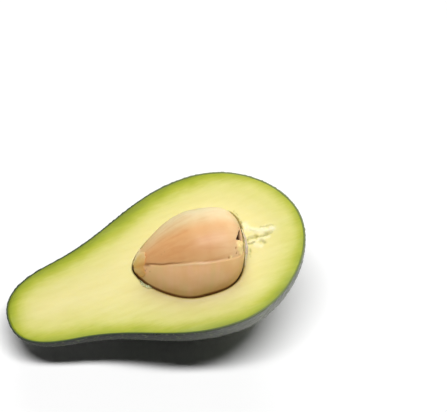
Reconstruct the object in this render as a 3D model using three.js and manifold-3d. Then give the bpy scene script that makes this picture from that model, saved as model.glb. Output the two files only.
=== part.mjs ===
// Half an avocado, cut along its length and lying on its back, with the stone still seated in the flesh.
// Millimetres, Z up. The fruit is drawn round its own long axis, X, which runs from the neck to the
// round end, with the cut face on Z = 0. The finished half is then tipped neck down, as its own
// weight tips it, and stands on a small flat where the skin is pressed against the table.
import * as THREE from "three";
import { mergeVertices } from "three/addons/utils/BufferGeometryUtils.js";
import Module from "manifold-3d";

const wasm = await Module();
wasm.setup();

// Driving dimensions of the whole fruit, skin to skin
const FRUIT_LENGTH = 121.4;
const NECK = { x: 23.3, radius: 17.7, flare: 0.16 };
const BELLY = { x: 83.5, radius: 34.1 };
const SKIN_THICKNESS = 0.7;

// How far each curve of the fruit's outline holds its direction before it bends away
const REACH = { neckEnd: 11.8, neckBefore: 12.9, neckAfter: 25, bellyBefore: 24.8, bellyAfter: 20.8, roundEnd: 16.7 };

// The stone: an egg with its pointed end towards the neck, sunk to its middle in the cut face.
// It leans, so that its top lies nearer the round end of the fruit than its foot
const STONE = { tip: 23.7, butt: 19.2, radius: 17.5, x: 75.8, y: -0.8, lift: 0.7, lean: 0.29 };
const STONE_YAW = THREE.MathUtils.degToRad(-8.4);
const STONE_TIP = { rise: 5.1, shoulder: 0.45 };
const STONE_BUTT = { reach: 0.68, corner: 0.84 };

// The suture, in degrees from the top of the stone towards -Y, and the hollow at its end
const SUTURE = { atTip: 22, atButt: 40, step: 0.35, from: 7, to: 11 };
const ROOT_HOLLOW = { x: 15.3, y: -1.7, z: 14.4, length: 1.8, width: 2.8, depth: 1.8 };

// The scrap of brown seed coat left on the stone's tip: how far its torn edge reaches from the tip,
// at each distance across it
const COAT = { thickness: 0.6, clear: 0.4, height: 14, behind: 3 };
const COAT_EDGE = [[6.8, 2.4], [5.3, 4.6], [3.5, 3.6], [1.6, 5.2], [-0.6, 4], [-2.4, 4.4], [-4.4, 1.6]];

// The two torn strands in the flesh behind the stone
const STRANDS = [
  { x: 104.4, y: 0, length: 6, width: 1.4, rise: 0.8, yaw: -0.1 },
  { x: 101.4, y: -4.4, length: 4, width: 1.1, rise: 0.65, yaw: -0.2 },
];

// The pebbles of the skin, longer along the fruit than across it, in rows round the fruit.
// pitch is from one to the next, scatter how far one strays from its place and spread how much one's
// height strays, both as a share, and slimness how many of them a pitch would hold
const PEBBLE = { pitchAlong: 5, pitchAround: 3.9, scatter: 0.3, height: 0.7, spread: 0.25, slimness: 1.7 };

// How the half lies
const NECK_DOWN = THREE.MathUtils.degToRad(14);
const PRESSED = 0.55;
const SMOOTH_ABOVE_PRESS = 2.2;

// Clearances that keep neighbouring pieces apart
const FACE_GAP = 0.3;
const SOCKET_GAP = SUTURE.step + FACE_GAP;

// Fineness of each surface, as rings along the fruit and meridians round it
const SKIN_MESH = { rings: 76, meridians: 112 };
const LINING_MESH = { rings: 30, meridians: 52 };
const STONE_MESH = { rings: 26, meridians: 36 };
const COAT_MESH = { rings: 20, meridians: 28 };

const UP = new THREE.Vector3(Math.sin(NECK_DOWN), 0, Math.cos(NECK_DOWN));

// A repeatable draw from -0.5 to 0.5 for three whole numbers
function draw(a, b, c) {
  const wave = Math.sin(a * 127.1 + b * 311.7 + c * 74.7) * 43758.5453;
  return wave - Math.floor(wave) - 0.5;
}

// Outlines are drawn as (distance along the axis, radius)
function fruitOutline() {
  const path = new THREE.Path();
  path.moveTo(0, 0);
  path.bezierCurveTo(
    0, REACH.neckEnd,
    NECK.x - REACH.neckBefore, NECK.radius - NECK.flare * REACH.neckBefore,
    NECK.x, NECK.radius,
  );
  path.bezierCurveTo(
    NECK.x + REACH.neckAfter, NECK.radius + NECK.flare * REACH.neckAfter,
    BELLY.x - REACH.bellyBefore, BELLY.radius,
    BELLY.x, BELLY.radius,
  );
  path.bezierCurveTo(
    BELLY.x + REACH.bellyAfter, BELLY.radius,
    FRUIT_LENGTH, REACH.roundEnd,
    FRUIT_LENGTH, 0,
  );
  return path;
}

function stoneOutline() {
  const path = new THREE.Path();
  path.moveTo(-STONE.tip, 0);
  path.bezierCurveTo(
    -STONE.tip, STONE_TIP.rise,
    -STONE.tip * STONE_TIP.shoulder, STONE.radius,
    0, STONE.radius,
  );
  path.bezierCurveTo(
    STONE.butt * STONE_BUTT.reach, STONE.radius,
    STONE.butt, STONE.radius * STONE_BUTT.corner,
    STONE.butt, 0,
  );
  return path;
}

// Turns an outline round X into a closed body, moved in by inset.
// raise(point, share along the outline, angle round the axis) lifts its surface outwards
function turned(outline, mesh, inset, raise = null) {
  const profile = [];
  for (let ring = 0; ring <= mesh.rings; ring += 1) {
    const share = ring / mesh.rings;
    const at = outline.getPointAt(share);
    const along = outline.getTangentAt(share);
    const onAxis = ring === 0 || ring === mesh.rings;
    profile.push(new THREE.Vector2(onAxis ? 0 : at.y - along.x * inset, at.x + along.y * inset));
  }
  const geometry = new THREE.LatheGeometry(profile, mesh.meridians);
  geometry.rotateZ(-Math.PI / 2);
  if (raise) {
    const { position, normal } = geometry.attributes;
    const point = new THREE.Vector3();
    const outwards = new THREE.Vector3();
    for (let i = 0; i < position.count; i += 1) {
      const ring = i % (mesh.rings + 1);
      const meridian = Math.floor(i / (mesh.rings + 1)) % mesh.meridians;
      if (ring === 0 || ring === mesh.rings) continue;
      point.fromBufferAttribute(position, i);
      outwards.fromBufferAttribute(normal, i);
      const angle = (meridian / mesh.meridians) * Math.PI * 2;
      point.addScaledVector(outwards, raise(point, ring / mesh.rings, angle));
      position.setXYZ(i, point.x, point.y, point.z);
    }
  }
  return geometry;
}

// The height of the table above the fruit's own origin, measured along UP
const TABLE = fruitOutline()
  .getSpacedPoints(400)
  .reduce((lowest, p) => Math.min(lowest, p.x * UP.x - p.y * UP.z), Infinity) + PRESSED;

// Presses the underside flat against the table, or against a plane the given height above it
function pressFlat(geometry, above) {
  const { position } = geometry.attributes;
  const point = new THREE.Vector3();
  for (let i = 0; i < position.count; i += 1) {
    point.fromBufferAttribute(position, i);
    const sunk = TABLE + above - point.dot(UP);
    if (sunk > 0) point.addScaledVector(UP, sunk);
    position.setXYZ(i, point.x, point.y, point.z);
  }
  return geometry;
}

// The rows of pebbles, each with as many as fit round the fruit there
const OUTLINE_LENGTH = fruitOutline().getLength();
const ROWS = Array.from({ length: Math.floor(OUTLINE_LENGTH / PEBBLE.pitchAlong) }, (_, row) => {
  const along = (row + 0.5) * PEBBLE.pitchAlong;
  const radius = fruitOutline().getPointAt(along / OUTLINE_LENGTH).y;
  return { along, count: Math.round((Math.PI * 2 * radius) / PEBBLE.pitchAround) };
});

// How high the pebbles stand at a point: the tallest of the domes that reach it
function pebbleHeight(point, share, angle) {
  const along = share * OUTLINE_LENGTH;
  const radius = Math.hypot(point.y, point.z);
  let tallest = 0;
  ROWS.forEach((row, r) => {
    if (Math.abs(row.along - along) > PEBBLE.pitchAlong * 1.5) return;
    const turn = (angle / (Math.PI * 2)) * row.count;
    for (let step = -1; step <= 1; step += 1) {
      const place = Math.round(turn) + step;
      const k = (place + row.count) % row.count;
      const off = row.along + draw(r, k, 1) * 2 * PEBBLE.scatter * PEBBLE.pitchAlong - along;
      const aside = place + draw(r, k, 2) * 2 * PEBBLE.scatter + (r % 2) / 2 - turn;
      const across = (aside / row.count) * Math.PI * 2 * radius;
      const far = Math.hypot(off / PEBBLE.pitchAlong, across / PEBBLE.pitchAround) * PEBBLE.slimness;
      const dome = Math.sqrt(Math.max(0, 1 - far * far));
      tallest = Math.max(tallest, dome * PEBBLE.height * (1 + draw(r, k, 3) * 2 * PEBBLE.spread));
    }
  });
  const nearEnds = Math.min(1, radius / NECK.radius);
  const aboveTable = THREE.MathUtils.smoothstep(point.dot(UP) - TABLE, 0, SMOOTH_ABOVE_PRESS);
  return tallest * nearEnds * aboveTable;
}

// Below the suture the stone stands a little proud of the part above, but not near its ends
function sutureStep(point, share, angle) {
  const along = THREE.MathUtils.clamp((point.x + STONE.tip) / (STONE.tip + STONE.butt), 0, 1);
  const suture = THREE.MathUtils.degToRad(THREE.MathUtils.lerp(SUTURE.atTip, SUTURE.atButt, Math.sqrt(along)));
  const below = angle > suture && angle < suture + Math.PI;
  const radius = Math.hypot(point.y, point.z);
  return below ? SUTURE.step * THREE.MathUtils.smoothstep(radius, SUTURE.from, SUTURE.to) : 0;
}

function solid(geometry) {
  geometry.deleteAttribute("normal");
  geometry.deleteAttribute("uv");
  const merged = mergeVertices(geometry, 1e-3);
  return new wasm.Manifold(new wasm.Mesh({
    numProp: 3,
    vertProperties: merged.attributes.position.array,
    triVerts: new Uint32Array(merged.index.array),
  }));
}

function geometryOf(body) {
  const { numProp, vertProperties, triVerts } = body.getMesh();
  const positions = new Float32Array((vertProperties.length / numProp) * 3);
  for (let i = 0; i * numProp < vertProperties.length; i += 1) {
    positions.set(vertProperties.subarray(i * numProp, i * numProp + 3), i * 3);
  }
  const indexed = new THREE.BufferGeometry();
  indexed.setAttribute("position", new THREE.BufferAttribute(positions, 3));
  indexed.setIndex(new THREE.BufferAttribute(triVerts, 1));
  const flat = indexed.toNonIndexed();
  flat.computeVertexNormals();
  return flat;
}

// Takes away everything above the knife's cut
function halved(body) {
  const size = FRUIT_LENGTH * 2;
  const above = new THREE.BoxGeometry(size, size, size);
  above.translate(FRUIT_LENGTH / 2, 0, size / 2);
  return body.subtract(solid(above));
}

// Moves a geometry drawn round the stone's middle to where the stone sits in the fruit
function seated(geometry) {
  geometry.applyMatrix4(new THREE.Matrix4().makeShear(0, 0, 0, 0, STONE.lean, 0));
  return geometry.rotateZ(STONE_YAW).translate(STONE.x, STONE.y, STONE.lift);
}

function skinBody() {
  const outside = pressFlat(turned(fruitOutline(), SKIN_MESH, 0, pebbleHeight), 0);
  const inside = pressFlat(turned(fruitOutline(), LINING_MESH, SKIN_THICKNESS), SKIN_THICKNESS);
  return halved(solid(outside).subtract(solid(inside)));
}

function strand({ x, y, length, width, rise, yaw }) {
  const ridge = new THREE.SphereGeometry(1, 10, 6);
  ridge.scale(length, width, rise);
  ridge.rotateZ(yaw);
  ridge.translate(x, y, 0);
  return solid(ridge);
}

function fleshBody() {
  const depth = SKIN_THICKNESS + FACE_GAP;
  const whole = solid(pressFlat(turned(fruitOutline(), LINING_MESH, depth), depth));
  const socket = solid(seated(turned(stoneOutline(), STONE_MESH, -SOCKET_GAP)));
  return STRANDS.reduce((flesh, place) => flesh.add(strand(place)), halved(whole)).subtract(socket);
}

function stoneBody() {
  const { x, y, z, length, width, depth } = ROOT_HOLLOW;
  const hollow = new THREE.SphereGeometry(1, 10, 8);
  hollow.scale(length, width, depth);
  hollow.translate(x, y, z);
  const egg = turned(stoneOutline(), STONE_MESH, 0, sutureStep);
  return solid(seated(egg)).subtract(solid(seated(hollow)));
}

// A ragged patch of thin shell over the tip, standing just clear of the stone and of the cut face
function coatBody() {
  const outside = solid(seated(turned(stoneOutline(), COAT_MESH, -FACE_GAP - COAT.thickness)));
  const inside = solid(seated(turned(stoneOutline(), COAT_MESH, -FACE_GAP)));
  const behind = -STONE.tip - COAT.behind;
  const patch = new THREE.Shape();
  patch.moveTo(behind, COAT_EDGE[0][0]);
  COAT_EDGE.forEach(([across, reach]) => patch.lineTo(-STONE.tip + reach, across));
  patch.lineTo(behind, COAT_EDGE.at(-1)[0]);
  patch.closePath();
  const cutter = new THREE.ExtrudeGeometry(patch, { depth: COAT.height, bevelEnabled: false });
  cutter.translate(0, 0, COAT.clear - STONE.lift);
  return outside.subtract(inside).intersect(solid(seated(cutter)));
}

function piece(name, body, material) {
  const mesh = new THREE.Mesh(geometryOf(body), new THREE.MeshStandardMaterial(material));
  mesh.name = name;
  return mesh;
}

const fruit = new THREE.Group();
fruit.add(
  piece("skin", skinBody(), { color: 0x33452a, roughness: 0.45, metalness: 0 }),
  piece("flesh", fleshBody(), { color: 0xe3e07f, roughness: 0.5, metalness: 0 }),
  piece("stone", stoneBody(), { color: 0xd29a68, roughness: 0.5, metalness: 0 }),
  piece("seed_coat_scrap", coatBody(), { color: 0xb97a3f, roughness: 0.6, metalness: 0 }),
);
fruit.rotation.y = -NECK_DOWN;
fruit.position.z = -TABLE;

// The origin is on the table, under the middle of the half
const avocado = new THREE.Group();
avocado.add(fruit);
const middle = new THREE.Box3().setFromObject(avocado, true).getCenter(new THREE.Vector3());
fruit.position.x = -middle.x;
fruit.position.y = -middle.y;

export default avocado;
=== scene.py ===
# Half an avocado with its stone, lying on its back on a plain pale floor, seen from above and one side.
import math

import bpy
import bmesh
from mathutils import Matrix, Vector, kdtree, noise
from mathutils.geometry import interpolate_bezier, intersect_point_line


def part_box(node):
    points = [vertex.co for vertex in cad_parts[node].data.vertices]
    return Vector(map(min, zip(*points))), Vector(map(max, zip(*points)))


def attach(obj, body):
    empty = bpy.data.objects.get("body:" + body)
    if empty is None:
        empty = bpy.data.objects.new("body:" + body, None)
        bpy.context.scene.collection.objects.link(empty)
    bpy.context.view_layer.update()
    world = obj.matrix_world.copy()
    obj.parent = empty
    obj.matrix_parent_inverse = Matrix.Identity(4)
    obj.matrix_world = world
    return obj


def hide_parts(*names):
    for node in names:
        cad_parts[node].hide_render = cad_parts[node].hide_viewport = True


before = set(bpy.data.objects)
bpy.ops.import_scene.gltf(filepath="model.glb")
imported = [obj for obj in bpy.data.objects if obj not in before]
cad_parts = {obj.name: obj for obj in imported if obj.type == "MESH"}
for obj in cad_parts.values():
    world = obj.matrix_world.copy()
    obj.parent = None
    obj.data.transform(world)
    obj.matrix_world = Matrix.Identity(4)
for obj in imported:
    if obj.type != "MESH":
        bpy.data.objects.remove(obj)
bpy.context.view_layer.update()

# Skin
# A leathery shell under a millimetre thick, dark green, with small pebbles that are longer along the
# fruit than across it. It grew round the flesh and was cut with it, and it is pressed flat where it lies.
MM = 0.001
NECK_DOWN = math.radians(14)
FRUIT_LENGTH = 121.4
SKIN_THICKNESS = 0.7

# Knots and handles of the fruit's outline, as distance from the neck's tip and from the fruit's axis, in mm
FRUIT_OUTLINE = (
    ((0, 0), (0, 11.8), (10.4, 15.6), (23.3, 17.7)),
    ((23.3, 17.7), (48.3, 21.7), (58.7, 34.1), (83.5, 34.1)),
    ((83.5, 34.1), (104.3, 34.1), (FRUIT_LENGTH, 16.7), (FRUIT_LENGTH, 0)),
)
PEBBLE_LONG, PEBBLE_WIDE, PEBBLE_HIGH = 3.0, 1.4, 0.3
PEBBLE_STRAY = 0.55
SWELL_LONG, SWELL_HIGH = 16, 0.15
SMOOTH_ABOVE_FLOOR = 2.2
SMOOTH_AT_ENDS = 9
SKIN_STEPS, SKIN_TURNS, LINING_TURNS = 300, 190, 32
RIM_ROWS, RIM_ROUNDING = 5, 0.12
LIGHT_LEVEL = 1.2

# The strays of pebbles, marks and crumbs are random, and the same in every run
STRAY_SEED = 4
noise.seed_set(STRAY_SEED)

# The fruit's own frame has X along its axis from the neck's tip and the cut face on Z = 0.
# lie carries it to where it lies: its neck tip is the skin's lowest X, its round end the skin's highest Z
skin_low, skin_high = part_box("skin")
flesh_low, flesh_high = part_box("flesh")
neck_tip = Vector((
    skin_low.x,
    (flesh_low.y + flesh_high.y) / 2,
    skin_high.z - FRUIT_LENGTH * MM * math.sin(NECK_DOWN),
))
lie = Matrix.Translation(neck_tip) @ Matrix.Rotation(-NECK_DOWN, 4, "Y") @ Matrix.Scale(MM, 4)


def smooth_step(value, start, end):
    share = min(max((value - start) / (end - start), 0), 1)
    return share * share * (3 - 2 * share)


def outline_points(outline, inset, steps):
    """Points evenly along an outline of Bezier curves, moved in from it by inset."""
    line = []
    for curve in outline:
        knot, handle, next_handle, next_knot = (Vector((x, y, 0)) for x, y in curve)
        line += interpolate_bezier(knot, handle, next_handle, next_knot, 400)[1 if line else 0:]
    moved = []
    for before, at, after in zip(line[:1] + line, line, line[1:] + line[-1:]):
        along = (after - before).normalized()
        moved.append(Vector((at.x + along.y * inset, max(0, at.y - along.x * inset), 0)))
    moved[0].y = moved[-1].y = 0
    lengths = [0]
    for before, after in zip(moved, moved[1:]):
        lengths.append(lengths[-1] + (after - before).length)
    points, i = [], 0
    for step in range(steps + 1):
        length = lengths[-1] * step / steps
        while i < len(moved) - 2 and lengths[i + 1] < length:
            i += 1
        share = (length - lengths[i]) / (lengths[i + 1] - lengths[i])
        points.append(moved[i].lerp(moved[i + 1], min(max(share, 0), 1)))
    return points


def turn_outline(body, points, angle, turns):
    """Turns an outline about the X axis, from the +Y side downwards, and gives its vertices."""
    known = set(body.verts)
    verts = [body.verts.new(point) for point in points]
    edges = [body.edges.new(pair) for pair in zip(verts, verts[1:])]
    bmesh.ops.spin(
        body, geom=verts + edges, cent=(0, 0, 0), axis=(-1, 0, 0), angle=angle, steps=turns,
        use_merge=angle > math.pi * 1.9, use_duplicate=False,
    )
    bmesh.ops.remove_doubles(body, verts=[vert for vert in body.verts if vert not in known], dist=1e-5)
    return [vert for vert in body.verts if vert not in known]


def both_sides(points):
    """A closed loop from an outline: down its +Y side and back up its -Y side."""
    return points + [Vector((point.x, -point.y, 0)) for point in reversed(points[:-1])]


def ring_between(body, inner_loop, outer_loop, rows):
    """Adds a ring of faces between two loops, and gives its vertices with their share of the way out."""
    spokes = len(inner_loop) - 1
    made = []
    for vert in bmesh.ops.create_grid(body, x_segments=spokes, y_segments=rows, size=1)["verts"]:
        spoke = round((vert.co.x + 1) / 2 * spokes)
        share = (vert.co.y + 1) / 2
        vert.co = inner_loop[spoke].lerp(outer_loop[spoke], share)
        made.append((vert, share))
    return made


def pebble_at(place):
    """How much of a pebble's height the skin has at a place on the fruit, from 0 to 1."""
    spot = Vector((place.x / PEBBLE_LONG, place.y / PEBBLE_WIDE, place.z / PEBBLE_WIDE))
    spot += noise.noise_vector(spot * 0.4) * PEBBLE_STRAY
    distances, middles = noise.voronoi(spot)
    own_height = 0.65 + 0.35 * noise.noise(middles[0] * 5.3)
    return smooth_step(distances[1] - distances[0], 0.02, 0.55) * own_height


def press_flat(vert, above):
    """Lifts a vertex of the fruit's back that is lower than a height above the floor."""
    sunk = above - (lie @ vert.co).z / MM
    if sunk > 0:
        vert.co += Vector((math.sin(NECK_DOWN), 0, math.cos(NECK_DOWN))) * sunk


def finished_piece(name, body, slot, material, *nodes):
    """Makes a bmesh in the fruit's frame into a piece where the fruit lies, standing for CAD nodes."""
    body.transform(lie)
    bmesh.ops.recalc_face_normals(body, faces=body.faces)
    for face in body.faces:
        face.smooth = True
    mesh = bpy.data.meshes.new(name)
    body.to_mesh(mesh)
    body.free()
    piece = bpy.data.objects.new(name, mesh)
    bpy.context.scene.collection.objects.link(piece)
    mesh.materials.append(material)
    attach(piece, "root")
    if nodes:
        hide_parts(*nodes)
    return piece


def tint(red, green, blue):
    """A colour as it should be seen, in steps from 0 to 255, as the share of the light that it gives back."""
    seen = (((step / 255 + 0.055) / 1.055) ** 2.4 for step in (red, green, blue))
    return tuple(share / LIGHT_LEVEL for share in seen) + (1,)


def new_finish(name):
    """A material with its node tree and its shader."""
    material = bpy.data.materials.new(name)
    material.use_nodes = True
    return material, material.node_tree, material.node_tree.nodes["Principled BSDF"]


def add_node(tree, kind, inputs, **settings):
    """Adds a shader node, with its inputs set to values or linked to other nodes' outputs."""
    node = tree.nodes.new("ShaderNode" + kind)
    for setting, value in settings.items():
        setattr(node, setting, value)
    for socket, value in inputs.items():
        if isinstance(value, bpy.types.NodeSocket):
            tree.links.new(value, node.inputs[socket])
        else:
            node.inputs[socket].default_value = value
    return node


def add_ramp(tree, factor, stops):
    """A colour ramp with (place, colour) stops."""
    ramp = add_node(tree, "ValToRGB", {"Fac": factor})
    elements = ramp.color_ramp.elements
    while len(elements) < len(stops):
        elements.new(0.5)
    for element, (place, colour) in zip(elements, stops):
        element.position = place
        element.color = colour
    return ramp.outputs["Color"]


def add_mix(tree, share, first, second, blend="MIX"):
    """A mix of two colours."""
    mix = add_node(tree, "Mix", {0: share, 6: first, 7: second}, data_type="RGBA", blend_type=blend)
    return mix.outputs[2]


def read_mark(tree, name):
    """The value that a piece's own attribute has at each point."""
    return add_node(tree, "Attribute", {}, attribute_name=name).outputs["Fac"]


def lengthwise(tree, scale):
    """Object coordinates turned to the fruit's axis and scaled along and across it."""
    place = add_node(tree, "TexCoord", {}).outputs["Object"]
    mapping = add_node(tree, "Mapping", {"Vector": place, "Rotation": (0, NECK_DOWN, 0), "Scale": scale})
    return mapping.outputs["Vector"]


skin_finish, tree, shader = new_finish("pebbled_skin")
pebble = read_mark(tree, "pebble")
depth = read_mark(tree, "depth")
patches = add_node(tree, "TexNoise", {"Vector": lengthwise(tree, (45, 60, 60)), "Scale": 1, "Detail": 3})
specks = add_node(tree, "TexNoise", {"Vector": lengthwise(tree, (500, 900, 900)), "Scale": 1, "Detail": 4})
# The skin is painted darker in the hollows between pebbles and paler on their tops: painted shade and painted
# highlight
green = add_ramp(tree, pebble, (
    (0.0, tint(14, 22, 10)),
    (0.4, tint(34, 48, 22)),
    (0.75, tint(84, 98, 56)),
    (1.0, tint(144, 152, 104)),
))
green = add_mix(tree, patches.outputs["Fac"], green, tint(88, 104, 62), "SOFT_LIGHT")
speck_mask = add_ramp(tree, specks.outputs["Fac"], ((0.6, (0, 0, 0, 1)), (0.72, (1, 1, 1, 1))))
green = add_mix(tree, speck_mask, green, tint(128, 142, 88))
# Towards the round end it is smoother and waxier, and painted a paler grey in patches: a painted reflection of
# the pale floor. Its cut edge turns paler there too
lengths = add_node(tree, "SeparateXYZ", {"Vector": lengthwise(tree, (1, 1, 1))})
towards_round_end = add_node(tree, "MapRange", {"Value": lengths.outputs["X"], "From Min": 0.005, "From Max": 0.04})
grey_reflection = add_node(tree, "MapRange", {"Value": patches.outputs["Fac"], "To Max": 0.75})
grey_reflection = add_node(tree, "Math", {0: towards_round_end.outputs["Result"], 1: grey_reflection.outputs["Result"]}, operation="MULTIPLY")
green = add_mix(tree, grey_reflection.outputs[0], green, tint(146, 154, 118))
cut_edge = add_ramp(tree, depth, (
    (0.0, tint(34, 46, 18)),
    (0.55, tint(52, 70, 24)),
    (1.0, tint(116, 136, 44)),
))
cut_edge = add_mix(tree, towards_round_end.outputs["Result"], cut_edge, tint(124, 138, 74))
cut_mask = add_ramp(tree, depth, ((0.02, (0, 0, 0, 1)), (0.12, (1, 1, 1, 1))))
tree.links.new(add_mix(tree, cut_mask, green, cut_edge), shader.inputs["Base Color"])
dull = add_node(tree, "MapRange", {"Value": towards_round_end.outputs["Result"], "To Min": 0.75, "To Max": 0.3})
dull_cut = add_node(tree, "MapRange", {"Value": depth, "From Max": 0.15, "To Max": 0.85})
dull = add_node(tree, "Math", {0: dull.outputs["Result"], 1: dull_cut.outputs["Result"]}, operation="MAXIMUM")
tree.links.new(dull.outputs[0], shader.inputs["Roughness"])
shader.inputs["Specular IOR Level"].default_value = 0.9
grain = add_node(tree, "TexNoise", {"Vector": lengthwise(tree, (900, 1500, 1500)), "Scale": 1, "Detail": 3})
bump = add_node(tree, "Bump", {"Strength": 0.6, "Distance": 0.14 * MM, "Height": grain.outputs["Fac"]})
tree.links.new(bump.outputs["Normal"], shader.inputs["Normal"])

outer_line = outline_points(FRUIT_OUTLINE, 0, SKIN_STEPS)
lining_line = outline_points(FRUIT_OUTLINE, SKIN_THICKNESS, SKIN_STEPS)
body = bmesh.new()
pebble_mark = body.verts.layers.float.new("pebble")
depth_mark = body.verts.layers.float.new("depth")
turn_outline(body, outer_line, math.pi, SKIN_TURNS)
for vert in turn_outline(body, lining_line, math.pi, LINING_TURNS):
    vert[depth_mark] = 1
for vert, share in ring_between(body, both_sides(lining_line), both_sides(outer_line), RIM_ROWS):
    vert[depth_mark] = 1 - share
bmesh.ops.remove_doubles(body, verts=body.verts, dist=1e-4)
bmesh.ops.recalc_face_normals(body, faces=body.faces)
body.normal_update()
outer_verts = [vert for vert in body.verts if vert[depth_mark] < 0.01]
for vert in outer_verts:
    on_rim = vert.co.z > -1e-4
    height = (lie @ vert.co).z / MM
    radius = Vector((vert.co.y, vert.co.z)).length
    room = smooth_step(height, 0, SMOOTH_ABOVE_FLOOR) * (0.35 + 0.65 * smooth_step(radius, 0, SMOOTH_AT_ENDS))
    out = Vector((vert.normal.x, vert.normal.y, 0)).normalized() if on_rim else vert.normal
    vert[pebble_mark] = pebble_at(vert.co)
    swell = SWELL_HIGH * noise.noise(vert.co / SWELL_LONG)
    vert.co += out * room * (PEBBLE_HIGH * vert[pebble_mark] + swell)
    if on_rim:
        vert.co.z -= RIM_ROUNDING
    press_flat(vert, 0)
for vert in body.verts:
    if vert[depth_mark] > 0.99:
        press_flat(vert, SKIN_THICKNESS)
skin = finished_piece("fine_skin", body, "skin", skin_finish, "skin")

# Flesh
# Firm, moist and buttery: olive green under the skin, pale yellow inside. The knife left faint lengthwise
# ripples on its face. The stone sits in a socket in it, and behind the stone a few strands are torn up.
FACE_STEPS, FACE_RINGS, FLESH_TURNS, SOCKET_TURNS = 230, 76, 28, 44
FLESH_UNDER_SKIN = 0.03

# Knots and handles of the stone's outline, from its widest place: the tip is towards the neck
STONE_TIP, STONE_BUTT, STONE_RADIUS = 23.7, 19.2, 17.5
STONE_OUTLINE = (
    ((-STONE_TIP, 0), (-STONE_TIP, 5.1), (-10.7, STONE_RADIUS), (0, STONE_RADIUS)),
    ((0, STONE_RADIUS), (13.1, STONE_RADIUS), (STONE_BUTT, 14.7), (STONE_BUTT, 0)),
)
STONE_PLACE = Vector((75.8, -0.8, 0))
STONE_YAW = math.radians(-8.4)
STONE_LEAN = 0.29
STONE_LIFT = 0.7
lean = Matrix.Identity(4)
lean[0][2] = STONE_LEAN
socket_seat = Matrix.Translation(STONE_PLACE) @ Matrix.Rotation(STONE_YAW, 4, "Z") @ lean
stone_seat = Matrix.Translation((0, 0, STONE_LIFT)) @ socket_seat

# The socket follows the stone, but behind it on the +Y side it opens wider towards its lip
SOCKET_GAP = 0.5
SOCKET_SLACK, SLACK_DEPTH = 2.8, 7

# Ripples that the knife left: how long, how wide and how high, in mm
RIPPLES = ((34, 5, 0.14), (15, 1.8, 0.05), (7, 5, 0.04))
LIP_WIDTH, LIP_RISE, LIP_DROP = 2.2, 0.14, 0.4

# Marks on the face: the points of each, its half width and height in mm, how pale it is, and how much painted
# shade darkens its groove to olive
FACE_MARKS = (
    (((99.3, 3.4), (100.7, 1.9), (102.9, 0.5), (105.6, -0.8), (109.0, -1.0)), 1.05, 0.45, 1.0, 0),
    (((98.3, 4.6), (99.9, 4.6)), 1.3, 0.2, 0.7, 0),
    (((98.6, -3.2), (101.4, -3.6), (104.3, -4.0), (106.6, -3.6)), 0.5, 0.3, 0.7, 0),
    (((100.2, -5.1), (102.2, -6.5)), 0.9, 0.2, 0.8, 0),
    (((99.0, -1.5), (101.6, -2.0)), 0.7, -0.35, 0, 0.45),
    (((101.6, -2.0), (104.5, -2.8), (106.2, -2.7)), 0.45, -0.4, 0, 0.7),
    (((106.2, -2.7), (107.9, -2.4), (109.4, -1.8)), 0.35, -0.25, 0, 0.35),
    (((104.9, 1.3), (106.1, 0.9), (108.1, 0.8), (109.8, 0.4)), 0.35, -0.2, 0, 0.4),
    (((97.9, -3.9), (100.3, -4.2)), 0.4, -0.3, 0, 0.6),
    (((102.9, -4.3), (104.2, -5.9)), 0.55, -0.25, 0, 0.55),
    (((98.2, -2.1), (98.5, -2.0)), 0.5, -0.35, 0, 0.8),
    (((97.7, -6.3), (97.5, -7.3)), 0.45, -0.2, 0, 0.5),
    (((97.0, -8.3), (96.8, -9.4)), 0.4, -0.15, 0, 0.4),
    (((97.3, 11.9), (98.0, 9.5), (98.35, 6.4)), 0.22, -0.2, 0, 0.5),
    (((98.3, 6.6), (98.3, 5.9)), 0.4, -0.25, 0, 0.8),
)
# Painted shade: the olive goes in the torn grooves, the brown down the socket's wall, the tan on the face beside
# the stone
GROOVE_SHADE_OLIVE, CREVICE_SHADE, SHADE_TAN = (132, 128, 44), (132, 80, 34), (186, 154, 96)
SHADE_WIDTH, SHADE_DEPTH = 2.7, 0.85


def near_line(spot, line):
    """How far a place on the face is from a line drawn on it."""
    nearest = math.inf
    for start, end in zip(line, line[1:]):
        start, end = Vector((*start, 0)), Vector((*end, 0))
        share = intersect_point_line(spot, start, end)[1]
        nearest = min(nearest, (spot - start.lerp(end, min(max(share, 0), 1))).length)
    return nearest


def tree_of(points):
    """A search tree of points, to measure how far a place is from a fine line of them."""
    tree = kdtree.KDTree(len(points))
    for i, point in enumerate(points):
        tree.insert(point, i)
    tree.balance()
    return tree


def riper_by(spot):
    """How much further in a place on the face looks than it is, in mm: the green band isn't even."""
    far_side = 2.5 * smooth_step(spot.x, 70, 112) - 0.9 * math.exp(-((spot.x - 54) / 12) ** 2)
    near_side = 1.7 - 1.1 * smooth_step(spot.x, 55, 97) + 1.4 * smooth_step(spot.x, 103, 118)
    return 1 + far_side + (near_side - far_side) * smooth_step(-spot.y, -8, 8)


def slackened(point):
    """A point of the socket's wall, round the stone's middle, moved out to where the socket is slack."""
    share = smooth_step(point.y, -5, 13) * (1 - smooth_step(point.y, 13.5, 17.4)) if point.x > 0 else 0
    share *= 1 - smooth_step(-point.z, 0, SLACK_DEPTH)
    return point + Vector((point.x, point.y, 0)).normalized() * SOCKET_SLACK * share


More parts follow.
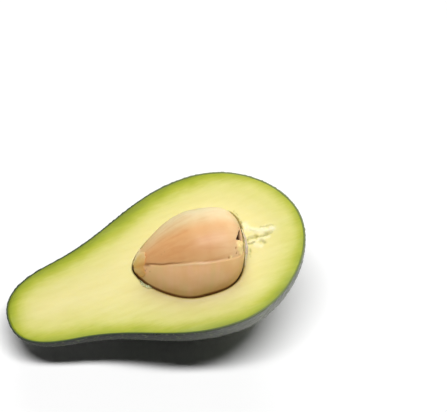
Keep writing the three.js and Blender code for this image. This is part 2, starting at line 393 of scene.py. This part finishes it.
flesh_finish, tree, shader = new_finish("avocado_flesh")
ripeness = read_mark(tree, "ripeness")
to_socket = read_mark(tree, "to_socket")
paleness = read_mark(tree, "paleness")
groove_shade = read_mark(tree, "groove_shade")
blotch = add_node(tree, "TexNoise", {"Vector": lengthwise(tree, (90, 130, 90)), "Scale": 1, "Detail": 3})
streak = add_node(tree, "TexNoise", {"Vector": lengthwise(tree, (110, 480, 110)), "Scale": 1, "Detail": 4})
fibre = add_node(tree, "TexNoise", {"Vector": lengthwise(tree, (260, 1500, 260)), "Scale": 1, "Detail": 4})
shift = add_node(tree, "MapRange", {
    "Value": blotch.outputs["Fac"], "From Min": 0.3, "From Max": 0.7, "To Min": -0.7, "To Max": 0.7,
})
small_shift = add_node(tree, "MapRange", {
    "Value": fibre.outputs["Fac"], "From Min": 0.3, "From Max": 0.7, "To Min": -0.35, "To Max": 0.35,
})
inwards = add_node(tree, "Math", {0: ripeness, 1: shift.outputs["Result"]}, operation="ADD")
inwards = add_node(tree, "Math", {0: inwards.outputs[0], 1: small_shift.outputs["Result"]}, operation="ADD")
inwards = add_node(tree, "MapRange", {"Value": inwards.outputs[0], "From Min": 0, "From Max": 20})
cream = add_ramp(tree, inwards.outputs["Result"], (
    (0.0, tint(140, 153, 34)),
    (0.1, tint(162, 175, 36)),
    (0.15, tint(178, 190, 42)),
    (0.2, tint(192, 200, 56)),
    (0.25, tint(206, 209, 78)),
    (0.325, tint(224, 223, 112)),
    (0.4, tint(237, 232, 136)),
    (0.5, tint(244, 236, 150)),
    (0.8, tint(252, 241, 164)),
))
streak_colour = add_ramp(tree, streak.outputs["Fac"], ((0.35, tint(226, 214, 140)), (0.6, tint(255, 255, 255))))
cream = add_mix(tree, 0.1, cream, streak_colour, "MULTIPLY")
torn_colour = add_mix(tree, fibre.outputs["Fac"], tint(255, 252, 215), tint(250, 246, 190))
cream = add_mix(tree, paleness, cream, torn_colour)
# Painted shade: tan on the face beside the stone
cream = add_mix(tree, read_mark(tree, "shade"), cream, tint(*SHADE_TAN))
# Painted shade: olive in the torn grooves
cream = add_mix(tree, groove_shade, cream, tint(*GROOVE_SHADE_OLIVE))
# Painted shade: the flesh turns a darker tan at the socket's lip and just inside it
lip_shade = add_ramp(tree, to_socket, ((0.0, (1, 1, 1, 1)), (0.7, (0, 0, 0, 1))))
cream = add_mix(tree, lip_shade, cream, tint(190, 165, 90))
# Painted shade: brown down the socket's wall
cream = add_mix(tree, read_mark(tree, "crevice"), cream, tint(*CREVICE_SHADE))
tree.links.new(cream, shader.inputs["Base Color"])
shader.inputs["Roughness"].default_value = 0.42
shader.inputs["Specular IOR Level"].default_value = 0.45
shader.inputs["Subsurface Weight"].default_value = 0.3
shader.inputs["Subsurface Radius"].default_value = (1.0, 0.8, 0.3)
shader.inputs["Subsurface Scale"].default_value = 1.6 * MM
bump = add_node(tree, "Bump", {"Strength": 0.3, "Distance": 0.12 * MM, "Height": streak.outputs["Fac"]})
bump = add_node(tree, "Bump", {
    "Strength": 0.25, "Distance": 0.05 * MM, "Height": fibre.outputs["Fac"], "Normal": bump.outputs["Normal"],
})
tree.links.new(bump.outputs["Normal"], shader.inputs["Normal"])

body = bmesh.new()
socket_line = outline_points(STONE_OUTLINE, -SOCKET_GAP, FACE_STEPS)
flesh_line = outline_points(FRUIT_OUTLINE, SKIN_THICKNESS + FLESH_UNDER_SKIN, FACE_STEPS)
for vert in turn_outline(body, socket_line, math.pi, SOCKET_TURNS):
    vert.co = socket_seat @ slackened(vert.co)
for vert in turn_outline(body, flesh_line, math.pi, FLESH_TURNS):
    press_flat(vert, SKIN_THICKNESS + FLESH_UNDER_SKIN)
socket_loop = [socket_seat @ slackened(point) for point in both_sides(socket_line)]
flesh_loop = both_sides(flesh_line)
ring_between(body, socket_loop, flesh_loop, FACE_RINGS)
bmesh.ops.remove_doubles(body, verts=body.verts, dist=1e-4)
ripeness_mark = body.verts.layers.float.new("ripeness")
to_socket_mark = body.verts.layers.float.new("to_socket")
paleness_mark = body.verts.layers.float.new("paleness")
groove_shade_mark = body.verts.layers.float.new("groove_shade")
shade_mark = body.verts.layers.float.new("shade")
crevice_shade_mark = body.verts.layers.float.new("crevice")
rim_tree, lip_tree = tree_of(flesh_loop), tree_of(socket_loop)
for vert in body.verts:
    spot = vert.co.copy()
    to_rim, to_lip = rim_tree.find(spot)[2], lip_tree.find(spot)[2]
    vert[to_socket_mark] = to_lip
    if spot.z < -1e-4:
        in_socket = (spot - STONE_PLACE).length < STONE_TIP + 2
        vert[ripeness_mark] = 14 if in_socket else to_rim
        # Painted shade down the socket's wall, darker the deeper it goes
        vert[crevice_shade_mark] = smooth_step(-spot.z, 0.2, 1.6) if in_socket else 0
        continue
    vert[ripeness_mark] = to_rim + riper_by(spot) * (1 - 0.65 * smooth_step(to_rim, 4, 9))
    # Painted shade of the stone on the face beside it, on its -Y side
    shade = SHADE_DEPTH * math.exp(-to_lip / SHADE_WIDTH) * smooth_step(-spot.y, 2, 10)
    vert[shade_mark] = shade * (1 - smooth_step(spot.x, 88, 100))
    rise = LIP_RISE * smooth_step(LIP_WIDTH - to_lip, 0, LIP_WIDTH) - LIP_DROP * smooth_step(0.5 - to_lip, 0, 0.5)
    for long, wide, high in RIPPLES:
        rise += high * noise.noise(Vector((spot.x / long, spot.y / wide, high * 90)))
    ragged = spot + noise.noise_vector(spot * 0.9) * 0.5
    # The raised marks are paler strands; the olive of the sunk ones is painted shade in their grooves
    for line, width, height, pale, olive in FACE_MARKS:
        if abs(spot.x - (line[0][0] + line[-1][0]) / 2) > abs(line[0][0] - line[-1][0]) / 2 + 4 * width:
            continue
        share = math.exp(-(near_line(ragged, line) / width) ** 2)
        rise += height * share * (1 + 0.4 * noise.noise(spot * 1.3))
        vert[paleness_mark] = max(vert[paleness_mark], pale * share)
        vert[groove_shade_mark] = max(vert[groove_shade_mark], olive * share)
    vert.co.z += rise
flesh = finished_piece("fine_flesh", body, "flesh", flesh_finish, "flesh")

# Stone
# A hard smooth seed under a tan skin, pointed towards the neck and blunt behind, with a suture round it.
# It sits in its socket to its middle, and a dark wedge-shaped hollow is left where its root end was.
STONE_STEPS, STONE_TURNS = 200, 250
SUTURE_STEP, SUTURE_LEDGE, SUTURE_GROOVE = 0.35, 0.2, 0.28
DENTS = ((9, 0.18), (3.2, 0.05))
# Its skin is painted with dark shade where it goes down into the flesh, between these heights from the face,
# and at its butt, between these distances along it, where it also draws in
DARK_BELOW, DARK_BUTT, BUTT_DRAWN_IN = (0.9, 2.0), (17.3, 18.4), 0.4

# The hollow narrows to a point on the +Y side. It is drawn across the stone, along its Y and down its end
HOLLOW_POINT, HOLLOW_LONG, HOLLOW_WIDE, HOLLOW_DEEP = 2.4, 6.6, 2.5, 1.4
HOLLOW_END = Vector((15.7, 0, 13.0))
HOLLOW_ASIDE, HOLLOW_SLANT = 2.1, 1.6

# Crumbs of flesh and dark scars on the stone's skin: place, size and height in mm. The shallow ones are faint
FULL_MARK = 0.2
CRUMBS = (
    ((15.3, -5.9, 12.3), 2.4, 0.45),
    ((16.5, -5.2, 11.0), 1.9, 0.4),
    ((15.8, -8.0, 10.4), 1.9, 0.4),
    ((14.7, -7.4, 12.0), 1.3, 0.3),
    ((11.0, -10.3, 12.4), 0.6, 0.2),
)
SCARS = (
    ((13.4, -7.5, 13.1), 0.55, -0.2),
    ((13.5, -9.1, 11.9), 0.55, -0.25),
    ((10.2, -10.7, 12.5), 0.6, -0.15),
    ((-20.2, -4.6, 4.7), 0.45, -0.1),
    ((-19.6, -4.5, 5.6), 0.4, -0.1),
    ((-18.6, -5.9, 5.7), 0.4, -0.1),
    ((-14.5, -2.7, 11.4), 0.4, -0.08),
    ((-13.2, -2.2, 12.2), 0.3, -0.08),
)


def suture_at(along):
    """How far round from the stone's top towards -Y its suture is, at a share of the way to its butt."""
    turn = 19.5 + 14 * smooth_step(along, 0, 0.24) + 9 * smooth_step(along, 0.2, 0.9)
    return math.radians(turn + noise.noise(Vector((along * 6, 0, 0))))


stone_finish, tree, shader = new_finish("stone_skin")
along_mark = read_mark(tree, "along")
around_mark = read_mark(tree, "around")
stone_map = add_node(tree, "CombineXYZ", {"X": along_mark, "Y": around_mark}).outputs[0]
arcs_place = add_node(tree, "Mapping", {"Vector": stone_map, "Scale": (3, 17, 1)}).outputs[0]
arcs = add_node(tree, "TexNoise", {"Vector": arcs_place, "Scale": 1, "Detail": 3, "Distortion": 0.8})
bands_place = add_node(tree, "Mapping", {"Vector": stone_map, "Scale": (12, 3, 1)}).outputs[0]
bands = add_node(tree, "TexNoise", {"Vector": bands_place, "Scale": 1, "Detail": 2, "Distortion": 0.3})
mottle = add_node(tree, "TexNoise", {"Vector": lengthwise(tree, (150, 150, 150)), "Scale": 1, "Detail": 4})
# Round from the +Y side over the top to the suture. The pale cream from the +Y side up to the top is a painted
# highlight; towards the suture it is the stone's own orange tan
upper = add_ramp(tree, add_node(tree, "MapRange", {
    "Value": around_mark, "From Min": -0.5, "From Max": 0.25,
}).outputs["Result"], (
    (0.1, tint(248, 232, 182)),
    (0.35, tint(254, 240, 186)),
    (0.5, tint(258, 230, 174)),
    (0.62, tint(262, 206, 144)),
    (0.82, tint(254, 194, 132)),
    (0.95, tint(254, 204, 144)),
))
tip_tan = add_ramp(tree, along_mark, ((0.05, (1, 1, 1, 1)), (0.55, (0, 0, 0, 1))))
tip_share = add_node(tree, "Math", {0: tip_tan, 1: 0.55}, operation="MULTIPLY").outputs[0]
upper = add_mix(tree, tip_share, upper, tint(270, 202, 130))
arc_colour = add_ramp(tree, arcs.outputs["Fac"], (
    (0.3, tint(240, 208, 176)),
    (0.5, tint(255, 250, 244)),
    (0.7, tint(258, 256, 250)),
))
upper = add_mix(tree, 0.5, upper, arc_colour, "MULTIPLY")
# Painted highlight: both sides turn paler towards the butt
by_butt = add_ramp(tree, along_mark, ((0.62, (0, 0, 0, 1)), (0.86, (0.5, 0.5, 0.5, 1))))
upper = add_mix(tree, by_butt, upper, tint(276, 240, 184))
# Below the suture the tan is painted paler than its own colour, lifting the shade that side gets
lower = add_ramp(tree, bands.outputs["Fac"], (
    (0.3, tint(260, 216, 148)),
    (0.5, tint(266, 214, 152)),
    (0.7, tint(270, 215, 163)),
))
lower = add_mix(tree, by_butt, lower, tint(278, 228, 154))
tan = add_mix(tree, read_mark(tree, "below"), upper, lower)
mottle_colour = add_ramp(tree, mottle.outputs["Fac"], ((0.35, tint(244, 226, 204)), (0.6, tint(255, 255, 255))))
tan = add_mix(tree, 0.4, tan, mottle_colour, "MULTIPLY")
# Painted highlight along the ledge below the suture
tan = add_mix(tree, read_mark(tree, "ledge"), tan, tint(255, 224, 174))
# Painted shade in the suture's groove, dark brown
tan = add_mix(tree, read_mark(tree, "crease"), tan, tint(150, 98, 44))
tan = add_mix(tree, read_mark(tree, "scar"), tan, tint(184, 128, 62))
tan = add_mix(tree, read_mark(tree, "shaded"), tan, tint(146, 86, 36))
# The hollow is painted near-black brown: painted shade in the recess
tan = add_mix(tree, read_mark(tree, "hollow"), tan, tint(74, 34, 6))
tan = add_mix(tree, read_mark(tree, "crumb"), tan, tint(274, 242, 164))
tree.links.new(tan, shader.inputs["Base Color"])
dull = add_node(tree, "MapRange", {"Value": read_mark(tree, "hollow"), "To Min": 0.46, "To Max": 1})
tree.links.new(dull.outputs["Result"], shader.inputs["Roughness"])
shader.inputs["Specular IOR Level"].default_value = 0.4
shader.inputs["Subsurface Weight"].default_value = 0.12
shader.inputs["Subsurface Radius"].default_value = (1.0, 0.6, 0.35)
shader.inputs["Subsurface Scale"].default_value = 1.0 * MM
bump = add_node(tree, "Bump", {"Strength": 0.25, "Distance": 0.12 * MM, "Height": arcs.outputs["Fac"]})
bump = add_node(tree, "Bump", {
    "Strength": 0.2, "Distance": 0.1 * MM, "Height": mottle.outputs["Fac"], "Normal": bump.outputs["Normal"],
})
tree.links.new(bump.outputs["Normal"], shader.inputs["Normal"])

body = bmesh.new()
turn_outline(body, outline_points(STONE_OUTLINE, 0, STONE_STEPS), 2 * math.pi, STONE_TURNS)
bmesh.ops.recalc_face_normals(body, faces=body.faces)
body.normal_update()
marks = {name: body.verts.layers.float.new(name) for name in (
    "along", "around", "below", "ledge", "crease", "crumb", "scar", "shaded", "hollow",
)}
for vert in body.verts:
    place = vert.co.copy()
    along = (place.x + STONE_TIP) / (STONE_TIP + STONE_BUTT)
    around = math.atan2(-place.y, place.z)
    radius = Vector((place.y, place.z)).length
    past = math.remainder(around - suture_at(along), 2 * math.pi)
    across = past * radius
    fade = smooth_step(radius, 2, 9)
    below = smooth_step(across, -0.25, 0.25) * (1 - smooth_step(past, 2.7, 3.1))
    ledge = math.exp(-((across - 0.5) / 0.38) ** 2) * smooth_step(along, 0.22, 0.38)
    ledge *= 1 - 0.8 * smooth_step(along, 0.52, 0.68)
    groove = math.exp(-((across + 0.15) / 0.3) ** 2) * (1 - 0.7 * smooth_step(along, 0.25, 0.5))
    spread = math.exp(-((across - 0.1) / 0.6) ** 2) * smooth_step(along, 0.07, 0.09)
    groove = max(groove, spread * (1 - smooth_step(along, 0.1, 0.14)))
    stray = 1.5 * noise.noise(place * 0.35)
    at_butt = smooth_step(place.x, *DARK_BUTT) * (1 - smooth_step(place.y + stray, -3, 6))
    at_butt *= 1 - smooth_step(place.z + stray, 8.5, 12)
    shaded = max(0.85 * at_butt, 1 - smooth_step((stone_seat @ place).z, *DARK_BELOW))
    wedge = (HOLLOW_POINT - place.y) / HOLLOW_LONG
    aside = ((place.x - HOLLOW_END.x) - (place.z - HOLLOW_END.z)) / math.sqrt(2)
    inside = HOLLOW_WIDE * wedge - abs(aside - HOLLOW_ASIDE + HOLLOW_SLANT * wedge)
    sunk = smooth_step(inside, -0.1, 0.3) * (1 - smooth_step(wedge, 0.96, 1.06)) if place.x > 0 < place.z else 0
    rise = fade * (SUTURE_STEP * below + SUTURE_LEDGE * ledge - SUTURE_GROOVE * groove)
    rise -= HOLLOW_DEEP * sunk + BUTT_DRAWN_IN * at_butt
    for long, high in DENTS:
        rise += high * noise.noise(place / long)
    ragged = place + noise.noise_vector(place * 1.7) * 0.35
    for name, spots in (("crumb", CRUMBS), ("scar", SCARS)):
        for spot, size, height in spots:
            share = 1 - smooth_step((ragged - Vector(spot)).length, 0.45 * size, size)
            rise += height * share
            vert[marks[name]] = max(vert[marks[name]], share * min(1, abs(height) / FULL_MARK))
    vert.co += vert.normal * rise
    vert[marks["along"]] = along
    vert[marks["around"]] = around / math.pi
    vert[marks["below"]] = below
    vert[marks["ledge"]] = 0.6 * ledge * fade
    vert[marks["crease"]] = groove * fade
    vert[marks["shaded"]] = shaded
    vert[marks["hollow"]] = min(1, 3 * sunk)
body.transform(stone_seat)
stone = finished_piece("fine_stone", body, "stone", stone_finish, "stone")

# Seed coat scrap
# The papery skin of the seed, most of it gone with the other half. A torn brown scrap of it is left on the
# stone's tip, stuck to it along one side and curled up at the torn edge.
COAT_CLEAR, COAT_THICK, COAT_CURL = 0.2, 0.16, 0.45
COAT_FROM, COAT_TO = math.radians(-84), math.radians(76)
COAT_REACH = 3.6
COAT_ROWS, COAT_COLUMNS = 30, 90

coat_finish, tree, shader = new_finish("seed_coat_paper")
mottle = add_node(tree, "TexNoise", {"Vector": lengthwise(tree, (420, 420, 420)), "Scale": 1, "Detail": 4})
near_tip = add_ramp(tree, read_mark(tree, "side"), (
    (0.2, tint(266, 244, 200)),
    (0.36, tint(244, 204, 120)),
    (0.6, tint(242, 192, 110)),
    (0.68, tint(246, 190, 112)),
    (0.78, tint(266, 224, 168)),
    (0.9, tint(252, 208, 144)),
))
near_edge = add_ramp(tree, read_mark(tree, "side"), (
    (0.2, tint(262, 230, 196)),
    (0.36, tint(268, 228, 180)),
    (0.55, tint(268, 224, 168)),
    (0.66, tint(240, 180, 100)),
    (0.8, tint(244, 190, 120)),
    (0.92, tint(234, 186, 116)),
))
brown = add_mix(tree, read_mark(tree, "reach"), near_tip, near_edge)
brown = add_mix(tree, mottle.outputs["Fac"], brown, tint(222, 172, 106), "SOFT_LIGHT")
tree.links.new(brown, shader.inputs["Base Color"])
shader.inputs["Roughness"].default_value = 0.4
shader.inputs["Subsurface Weight"].default_value = 0.3
shader.inputs["Subsurface Radius"].default_value = (1.0, 0.6, 0.35)
shader.inputs["Subsurface Scale"].default_value = 0.8 * MM
shader.inputs["Specular IOR Level"].default_value = 0.5

coat_line = outline_points(STONE_OUTLINE, -COAT_CLEAR, 900)
body = bmesh.new()
reach_mark = body.verts.layers.float.new("reach")
side_mark = body.verts.layers.float.new("side")
bmesh.ops.create_grid(body, x_segments=COAT_COLUMNS, y_segments=COAT_ROWS, size=1)
for vert in body.verts:
    column, row = (vert.co.x + 1) / 2, (vert.co.y + 1) / 2
    around = COAT_FROM + (COAT_TO - COAT_FROM) * column
    ragged = noise.noise(Vector((column * 6, 3.7, 0))) + 0.5 * noise.noise(Vector((column * 19, 1.2, 0)))
    ends = math.sin(math.pi * min(1, max(0, column))) ** 0.5
    reach = COAT_REACH * (0.4 + 0.6 * ends) * (1 + 0.3 * ragged)
    x = -STONE_TIP + reach * row
    radius = min(coat_line, key=lambda point: abs(point.x - x)).y
    radius += max(0, COAT_CURL * row ** 4 * (0.6 + ragged) + 0.2 * noise.noise(Vector((column * 9, row * 5, 2))))
    vert.co = Vector((x, -radius * math.sin(around), radius * math.cos(around)))
    vert[reach_mark] = row
    vert[side_mark] = column
bmesh.ops.remove_doubles(body, verts=body.verts, dist=1e-4)
bmesh.ops.recalc_face_normals(body, faces=body.faces)
bmesh.ops.solidify(body, geom=body.faces, thickness=COAT_THICK)
body.transform(stone_seat)
coat = finished_piece("fine_seed_coat_scrap", body, "seed_coat", coat_finish, "seed_coat_scrap")

# Film
# The thin inner layer of the seed coat, which stays on the flesh: a whitish strip along the socket's lip
# behind the stone, and a crumpled shred of it where the stone's tip meets the lip.
FILMS = (
    (((97.6, 3.4), (97.6, 0.6), (97.5, -2.0), (96.7, -5.4), (95.8, -7.9), (94.7, -10.2), (93.4, -12.9)), 1.0),
    (((53.2, -3.9), (53.9, -5.4), (55.3, -7.1), (56.6, -7.9)), 1.0),
)
FILM_THICK, FILM_ABOVE, FILM_CRUMPLE = 0.1, 0.22, 0.3

film_finish, tree, shader = new_finish("seed_coat_film")
mottle = add_node(tree, "TexNoise", {"Vector": lengthwise(tree, (420, 420, 420)), "Scale": 1, "Detail": 4})
film_colour = add_ramp(tree, read_mark(tree, "strip"), (
    (0.1, tint(250, 228, 186)),
    (0.45, tint(226, 208, 186)),
    (0.6, tint(222, 204, 180)),
    (0.85, tint(238, 222, 176)),
))
film_colour = add_mix(tree, read_mark(tree, "shred"), film_colour, tint(206, 204, 156))
film_colour = add_mix(tree, mottle.outputs["Fac"], film_colour, tint(200, 186, 160), "SOFT_LIGHT")
tree.links.new(film_colour, shader.inputs["Base Color"])
shader.inputs["Roughness"].default_value = 0.35
shader.inputs["Subsurface Weight"].default_value = 0.3
shader.inputs["Subsurface Scale"].default_value = 0.8 * MM

for number, (line, width) in enumerate(FILMS):
    body = bmesh.new()
    strip_mark = body.verts.layers.float.new("strip")
    shred_mark = body.verts.layers.float.new("shred")
    bmesh.ops.create_grid(body, x_segments=60, y_segments=8, size=1)
    for vert in body.verts:
        share, side = (vert.co.x + 1) / 2, vert.co.y
        step = min(int(share * (len(line) - 1)), len(line) - 2)
        start, end = Vector((*line[step], 0)), Vector((*line[step + 1], 0))
        middle = start.lerp(end, share * (len(line) - 1) - step)
        sideways = (end - start).normalized().cross(Vector((0, 0, 1)))
        half = width / 2 * math.sin(math.pi * share) ** 0.4
        half *= 1 + 0.5 * noise.noise(Vector((share * 9, number, side)))
        vert.co = middle + sideways * side * half
        vert.co.z = FILM_ABOVE + FILM_CRUMPLE * noise.noise(Vector((vert.co.x * 1.1, vert.co.y * 1.1, 4)))
        vert.co.z += 0.12 * side * side
        vert[strip_mark] = share
        vert[shred_mark] = number
    bmesh.ops.remove_doubles(body, verts=body.verts, dist=1e-4)
    bmesh.ops.recalc_face_normals(body, faces=body.faces)
    bmesh.ops.solidify(body, geom=body.faces, thickness=FILM_THICK)
    finished_piece(("socket_film", "tip_shred")[number], body, "seed_coat", film_finish)

# Floor
# A plain pale surface that the half lies on, far wider than the camera sees.
bpy.ops.mesh.primitive_plane_add(size=6, location=(0, 0, 0))
floor = bpy.context.object
floor.name = "floor"
floor_finish, tree, shader = new_finish("pale_floor")
shader.inputs["Base Color"].default_value = (0.94, 0.94, 0.94, 1)
shader.inputs["Roughness"].default_value = 0.5
floor.data.materials.append(floor_finish)

# Camera
# It looks at the cut face from the same side and tilt as the photograph, and frames it the same way.
PICTURE_WIDTH, PICTURE_HEIGHT = 447, 412
LENS, SENSOR_WIDTH, CAMERA_DISTANCE = 100, 36, 485.3
TILT_FROM_FACE = math.radians(29)
TILT_BEARING = math.radians(-98.75)
NORMAL_IN_PICTURE = math.radians(101.86)
AIM_PLACE = Vector((61.5, 0, 0))
AIM_PIXEL = Vector((157.6, 266.74))

to_camera = Vector((
    math.sin(TILT_FROM_FACE) * math.cos(TILT_BEARING),
    math.sin(TILT_FROM_FACE) * math.sin(TILT_BEARING),
    math.cos(TILT_FROM_FACE),
))
normal_seen = (Vector((0, 0, 1)) - to_camera * to_camera.z).normalized()
beside_normal = normal_seen.cross(to_camera)
right = beside_normal * math.sin(NORMAL_IN_PICTURE) + normal_seen * math.cos(NORMAL_IN_PICTURE)
up = normal_seen * math.sin(NORMAL_IN_PICTURE) - beside_normal * math.cos(NORMAL_IN_PICTURE)
pixel = CAMERA_DISTANCE * SENSOR_WIDTH / LENS / PICTURE_WIDTH
looked_at = AIM_PLACE + right * (PICTURE_WIDTH / 2 - AIM_PIXEL.x) * pixel
looked_at += up * (AIM_PIXEL.y - PICTURE_HEIGHT / 2) * pixel
turn = lie.to_3x3().normalized()
camera_data = bpy.data.cameras.new("camera")
camera_data.lens = LENS
camera_data.sensor_width = SENSOR_WIDTH
camera = bpy.data.objects.new("camera", camera_data)
bpy.context.scene.collection.objects.link(camera)
camera.matrix_world = Matrix.Translation(lie @ (looked_at + to_camera * CAMERA_DISTANCE)) @ Matrix((
    turn @ right, turn @ up, turn @ to_camera,
)).transposed().to_4x4()
bpy.context.scene.camera = camera

# Lights
# A softbox overhead throws the dark narrow shadow, a wide fainter one behind puts the soft pale shine on
# the stone, and a low one on the right greys the skin of the round end. The room itself is dark.
world = bpy.data.worlds.new("dark_room")
bpy.context.scene.world = world
world.use_nodes = True
world.node_tree.nodes["Background"].inputs["Color"].default_value = (1, 1, 1, 1)
world.node_tree.nodes["Background"].inputs["Strength"].default_value = 0.012
SOFTBOXES = (
    ("overhead strip", (0.12, 0.84), 10.9, (-0.016, 0.004, 1.0)),
    ("behind", (0.7, 0.7), 4.4, (0.28, 0.9, 0.32)),
    ("low on the right", (0.5, 0.05), 2.0, (1.08, -0.25, 0.033)),
)
for name, size, power, place in SOFTBOXES:
    softbox_data = bpy.data.lights.new(name, "AREA")
    softbox_data.shape = "RECTANGLE"
    softbox_data.size, softbox_data.size_y = size
    softbox_data.energy = power
    softbox = bpy.data.objects.new(name, softbox_data)
    bpy.context.scene.collection.objects.link(softbox)
    softbox.location = place
    softbox.rotation_euler = Vector(place).to_track_quat("Z", "Y").to_euler()
bpy.context.scene.view_settings.view_transform = "Standard"
